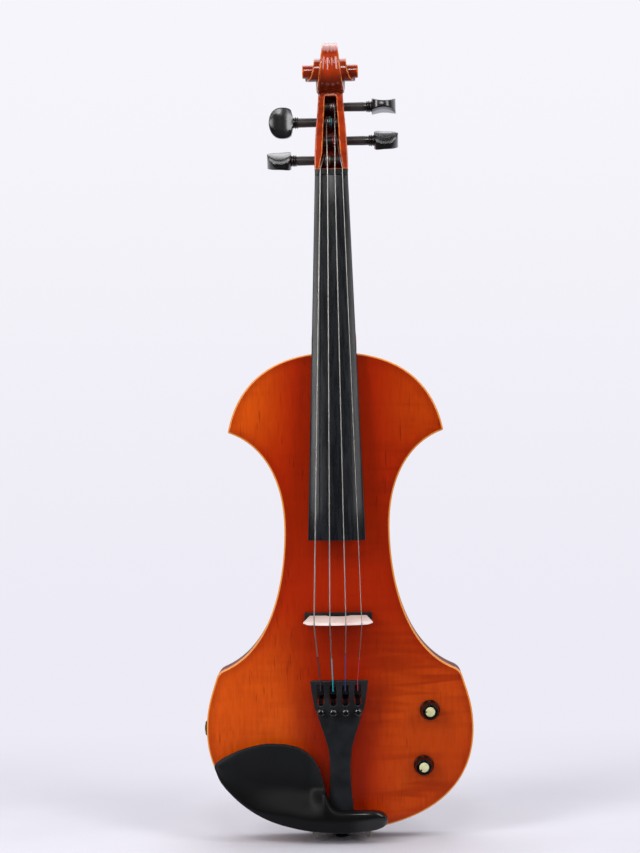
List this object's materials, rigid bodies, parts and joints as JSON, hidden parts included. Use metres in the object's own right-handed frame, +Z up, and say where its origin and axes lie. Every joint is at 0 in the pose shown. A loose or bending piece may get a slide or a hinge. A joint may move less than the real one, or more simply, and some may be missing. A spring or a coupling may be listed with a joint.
{
  "type": "electric violin",
  "caption": "Electric violin with a flat-topped hollow body, carved scroll, flared bridge on a pickup, tailpiece with fine tuners, clamped chinrest, knobs and a side output jack.",
  "frame": {"origin": "centre of the end button's flat end", "axes": "+Z up the violin to the scroll, -Y out of the top towards the player's bow, +X to the treble side"},
  "size_m": [0.1972, 0.0787, 0.5873],
  "materials": {
    "varnished_top": "glossy red-orange varnish over figured maple, golden at the edge",
    "varnished_sides": "glossy dark red-brown varnish over figured maple",
    "varnished_neck": "glossy varnish on the head, satin on the shaft",
    "bare_wood": "bare spruce",
    "ebony": "satin black hardwood",
    "peg_wood": "polished black hardwood",
    "black_plastic": "satin black",
    "chinrest_black": "satin black with a polished arm",
    "gloss_black": "gloss black",
    "black_metal": "blackened steel",
    "maple": "unvarnished maple with fine flecks",
    "string_g": "wound string with dark grey silk at its end",
    "string_d": "wound string with teal silk at its ends",
    "string_a": "wound string with blue silk at its end",
    "string_e": "plain steel string with red silk at its ends",
    "nickel": "nickel plate",
    "cream": "cream",
    "cork": "cork",
    "nylon": "black nylon",
    "lead": "dark red insulation"
  },
  "bodies": {
    "violin": {"top_plate": "varnished_top", "back_plate": "varnished_sides", "ribs": "varnished_sides", "neck": "varnished_neck", "neck_block": "bare_wood", "end_block": "bare_wood", "upper_block_left": "bare_wood", "upper_block_right": "bare_wood", "lower_block_left": "bare_wood", "lower_block_right": "bare_wood", "fingerboard": "ebony", "nut": "ebony", "saddle": "ebony", "end_button": "ebony", "string_g": "string_g", "string_d": "string_d", "string_a": "string_a", "string_e": "string_e", "bridge": "maple", "pickup_bar": "black_plastic", "tailpiece": "black_plastic", "tuner_axle": "nickel", "tailgut": "nylon", "chinrest": "chinrest_black", "chinrest_cork_left": "cork", "chinrest_cork_right": "cork", "clamp_hook_left": "nickel", "clamp_hook_right": "nickel", "volume_pot": "nickel", "volume_nut": "nickel", "tone_pot": "nickel", "tone_nut": "nickel", "output_jack": "nickel", "jack_nut": "nickel", "pickup_lead": "lead", "tone_lead": "lead", "jack_lead": "lead"},
    "peg_g": {"peg_g": "peg_wood"},
    "peg_d": {"peg_d": "peg_wood"},
    "peg_a": {"peg_a": "peg_wood"},
    "peg_e": {"peg_e": "peg_wood"},
    "tuner_screw_g": {"tuner_screw_g": "gloss_black"},
    "tuner_lever_g": {"tuner_lever_g": "black_metal"},
    "tuner_screw_d": {"tuner_screw_d": "gloss_black"},
    "tuner_lever_d": {"tuner_lever_d": "black_metal"},
    "tuner_screw_a": {"tuner_screw_a": "gloss_black"},
    "tuner_lever_a": {"tuner_lever_a": "black_metal"},
    "tuner_screw_e": {"tuner_screw_e": "gloss_black"},
    "tuner_lever_e": {"tuner_lever_e": "black_metal"},
    "volume": {"volume_knob": "gloss_black", "volume_cap": "cream", "volume_shaft": "nickel"},
    "tone": {"tone_knob": "gloss_black", "tone_cap": "cream", "tone_shaft": "nickel"},
    "clamp_barrel_left": {"clamp_barrel_left": "nickel"},
    "clamp_barrel_right": {"clamp_barrel_right": "nickel"},
    "clamp": {"clamp_bracket": "nickel", "bracket_cork": "cork"}
  },
  "joints": [
    {"name": "peg_g_turn", "type": "hinge", "parent": "violin", "child": "peg_g", "pos_m": [0, -0.00101, 0.4988], "axis": [1, 0, 0], "range_deg": [-720, 90]},
    {"name": "peg_d_turn", "type": "hinge", "parent": "violin", "child": "peg_d", "pos_m": [0, 0.0075, 0.52809], "axis": [1, 0, 0], "range_deg": [-720, 90]},
    {"name": "peg_a_turn", "type": "hinge", "parent": "violin", "child": "peg_a", "pos_m": [0, 0.011, 0.53982], "axis": [1, 0, 0], "range_deg": [-720, 90]},
    {"name": "peg_e_turn", "type": "hinge", "parent": "violin", "child": "peg_e", "pos_m": [0, 0.0035, 0.51361], "axis": [1, 0, 0], "range_deg": [-720, 90]},
    {"name": "tuner_screw_g_turn", "type": "hinge", "parent": "violin", "child": "tuner_screw_g", "pos_m": [-0.0134, -0.03517, 0.09636], "axis": [0, 1, 0], "range_deg": [-288, 1152]},
    {"name": "tuner_lever_g_tilt", "type": "hinge", "parent": "violin", "child": "tuner_lever_g", "pos_m": [-0.0134, -0.03065, 0.11053], "axis": [1, 0, 0], "range_deg": [-1, 4]},
    {"name": "tuner_screw_d_turn", "type": "hinge", "parent": "violin", "child": "tuner_screw_d", "pos_m": [-0.00447, -0.03517, 0.09636], "axis": [0, 1, 0], "range_deg": [-288, 1152]},
    {"name": "tuner_lever_d_tilt", "type": "hinge", "parent": "violin", "child": "tuner_lever_d", "pos_m": [-0.00447, -0.03065, 0.11053], "axis": [1, 0, 0], "range_deg": [-1, 4]},
    {"name": "tuner_screw_a_turn", "type": "hinge", "parent": "violin", "child": "tuner_screw_a", "pos_m": [0.00447, -0.03517, 0.09636], "axis": [0, 1, 0], "range_deg": [-288, 1152]},
    {"name": "tuner_lever_a_tilt", "type": "hinge", "parent": "violin", "child": "tuner_lever_a", "pos_m": [0.00447, -0.03065, 0.11053], "axis": [1, 0, 0], "range_deg": [-1, 4]},
    {"name": "tuner_screw_e_turn", "type": "hinge", "parent": "violin", "child": "tuner_screw_e", "pos_m": [0.0134, -0.03517, 0.09636], "axis": [0, 1, 0], "range_deg": [-288, 1152]},
    {"name": "tuner_lever_e_tilt", "type": "hinge", "parent": "violin", "child": "tuner_lever_e", "pos_m": [0.0134, -0.03065, 0.11053], "axis": [1, 0, 0], "range_deg": [-1, 4]},
    {"name": "volume_turn", "type": "hinge", "parent": "violin", "child": "volume", "pos_m": [0.0657, -0.0165, 0.09479], "axis": [0, 1, 0], "range_deg": [-60, 240]},
    {"name": "tone_turn", "type": "hinge", "parent": "violin", "child": "tone", "pos_m": [0.0606, -0.0165, 0.05469], "axis": [0, 1, 0], "range_deg": [-15, 285]},
    {"name": "clamp_barrel_left_turn", "type": "hinge", "parent": "violin", "child": "clamp_barrel_left", "pos_m": [-0.0193, 0.003, 0.00529], "axis": [0, 1, 0], "range_deg": [0, 720]},
    {"name": "clamp_barrel_right_turn", "type": "hinge", "parent": "violin", "child": "clamp_barrel_right", "pos_m": [0.0193, 0.003, 0.00529], "axis": [0, 1, 0], "range_deg": [0, 720]},
    {"name": "clamp_bracket_slide", "type": "slide", "parent": "violin", "child": "clamp", "axis": [0, 1, 0], "range_m": [0, 0.0028]}
  ],
  "couplings": [
    {"joint": "tuner_lever_g_tilt", "follows": "tuner_screw_g_turn", "ratio": 0.0034722},
    {"joint": "tuner_lever_d_tilt", "follows": "tuner_screw_d_turn", "ratio": 0.0034722},
    {"joint": "tuner_lever_a_tilt", "follows": "tuner_screw_a_turn", "ratio": 0.0034722},
    {"joint": "tuner_lever_e_tilt", "follows": "tuner_screw_e_turn", "ratio": 0.0034722},
    {"joint": "clamp_barrel_left_turn", "follows": "clamp_bracket_slide", "rad_per_m": 4488},
    {"joint": "clamp_barrel_right_turn", "follows": "clamp_bracket_slide", "rad_per_m": 4488}
  ]
}
